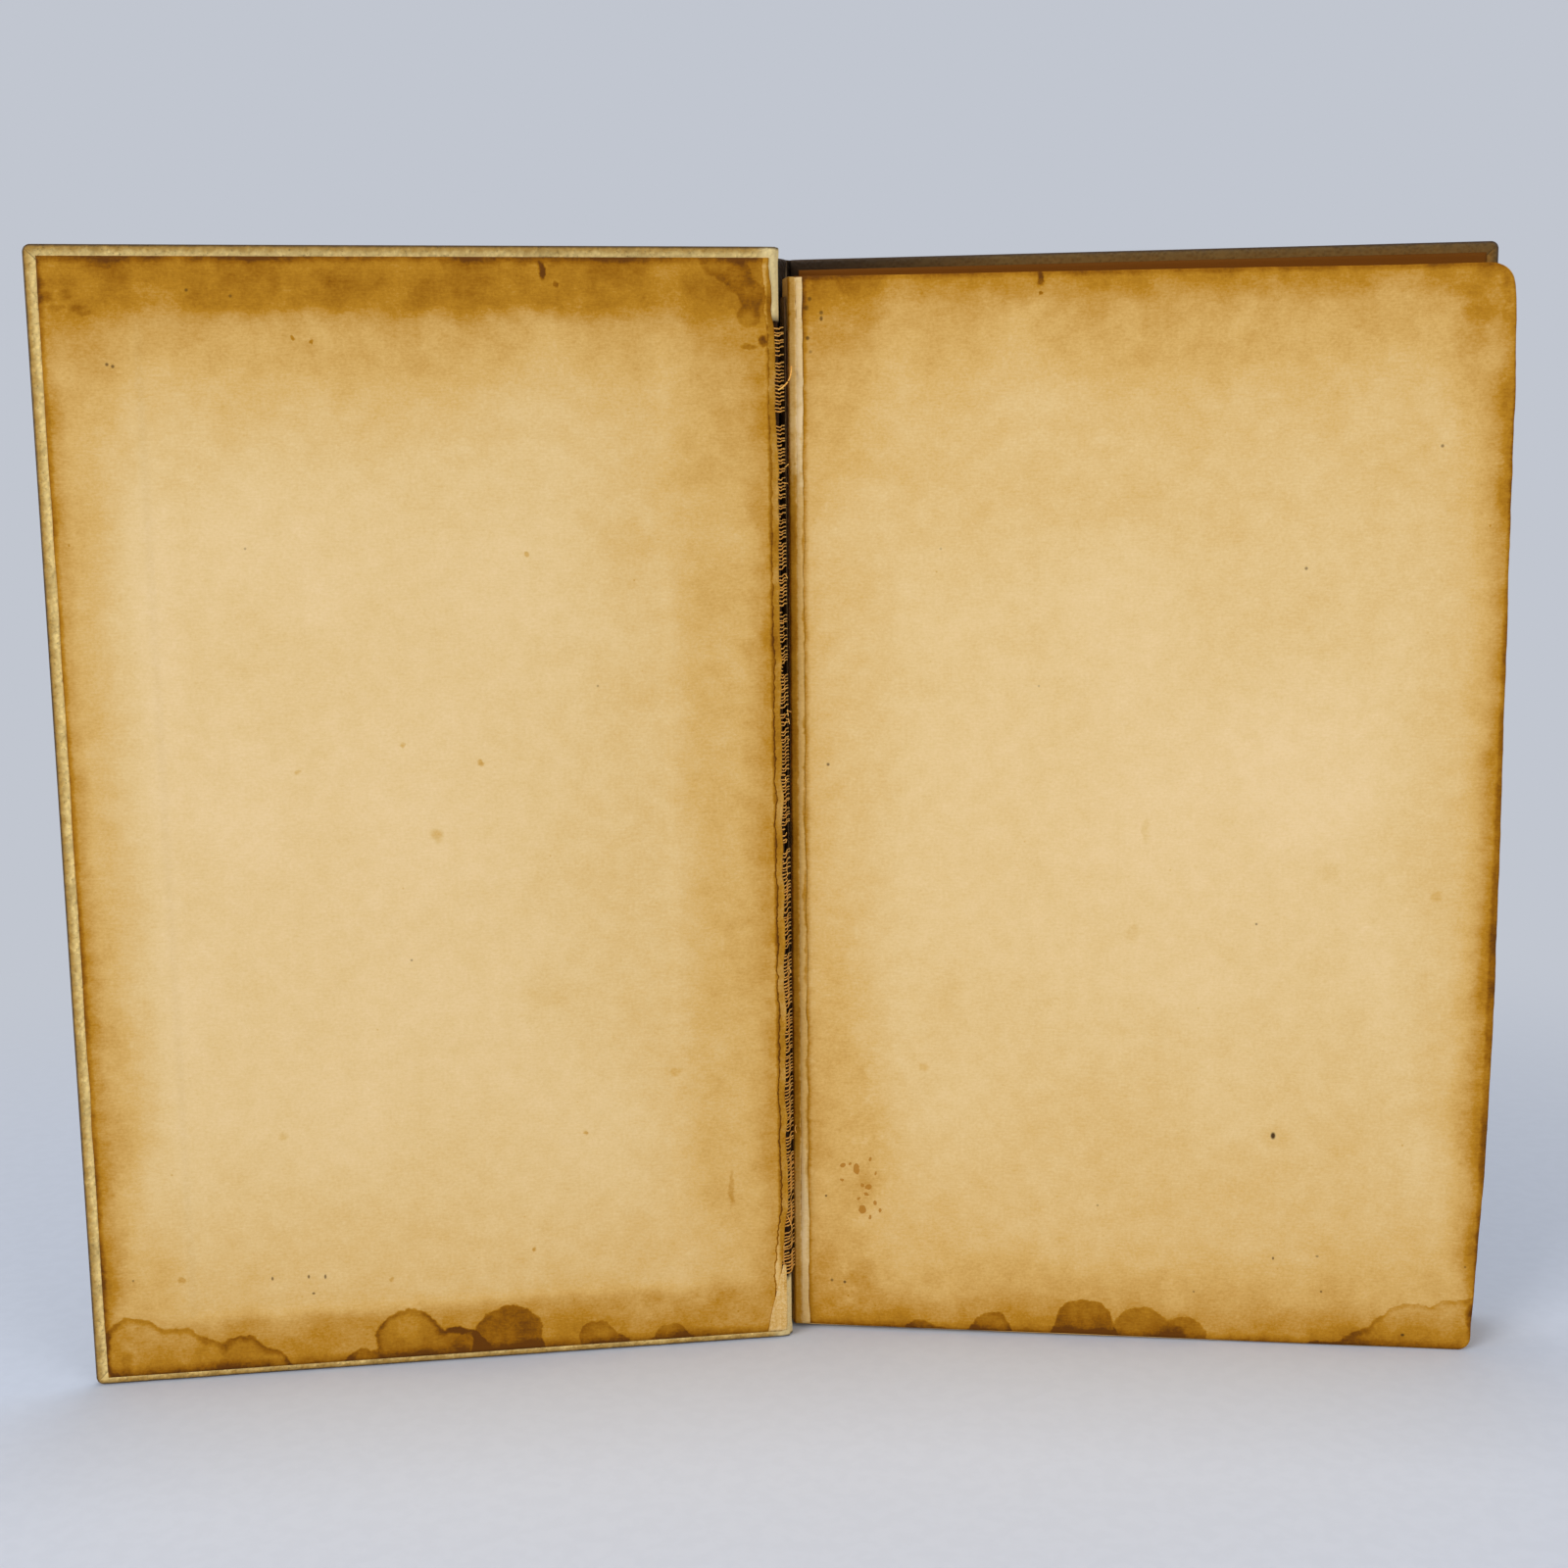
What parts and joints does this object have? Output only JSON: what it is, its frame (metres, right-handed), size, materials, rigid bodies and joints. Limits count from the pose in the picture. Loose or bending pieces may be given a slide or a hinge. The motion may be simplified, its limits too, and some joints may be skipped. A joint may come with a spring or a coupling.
{
  "type": "open book",
  "caption": "Cloth-bound hardback standing open at its front endpapers, with hinged front and rear covers, one block of leaves and a cracked front joint.",
  "frame": {"origin": "foot of the spine, at the middle of its rounded back, on the plane that the covers stand on", "axes": "+Z from tail to head, +X from the spine to the fore edge of the rear cover, -Y towards the open front"},
  "size_m": [0.2929, 0.0628, 0.235],
  "materials": {
    "leaves": "aged uncoated paper, toned and stained",
    "endpaper": "aged uncoated paper, toned and stained",
    "lining_paper": "coarse brown paper",
    "card": "plain card",
    "board": "grey-brown millboard",
    "mull": "open-weave cotton, sized",
    "cover_cloth": "pebbled buff book cloth, rubbed and specked"
  },
  "bodies": {
    "leaves": {"text_block": "leaves", "spine_mull": "mull", "spine_lining": "lining_paper", "spine_inlay": "card", "spine_cloth": "cover_cloth"},
    "front_cover": {"front_board": "board", "front_cloth": "cover_cloth", "front_mull": "mull", "front_paste_down": "endpaper"},
    "rear_cover": {"rear_board": "board", "rear_cloth": "cover_cloth", "rear_mull": "mull", "rear_paste_down": "endpaper"}
  },
  "joints": [
    {"name": "front_joint", "type": "hinge", "parent": "leaves", "child": "front_cover", "pos_m": [0.00337, -0.01178, 0], "axis": [0, 0, 1], "range_deg": [-14.3, 165.7]},
    {"name": "rear_joint", "type": "hinge", "parent": "leaves", "child": "rear_cover", "pos_m": [0.00337, 0.01178, 0], "axis": [0, 0, 1], "range_deg": [0, 180]}
  ]
}
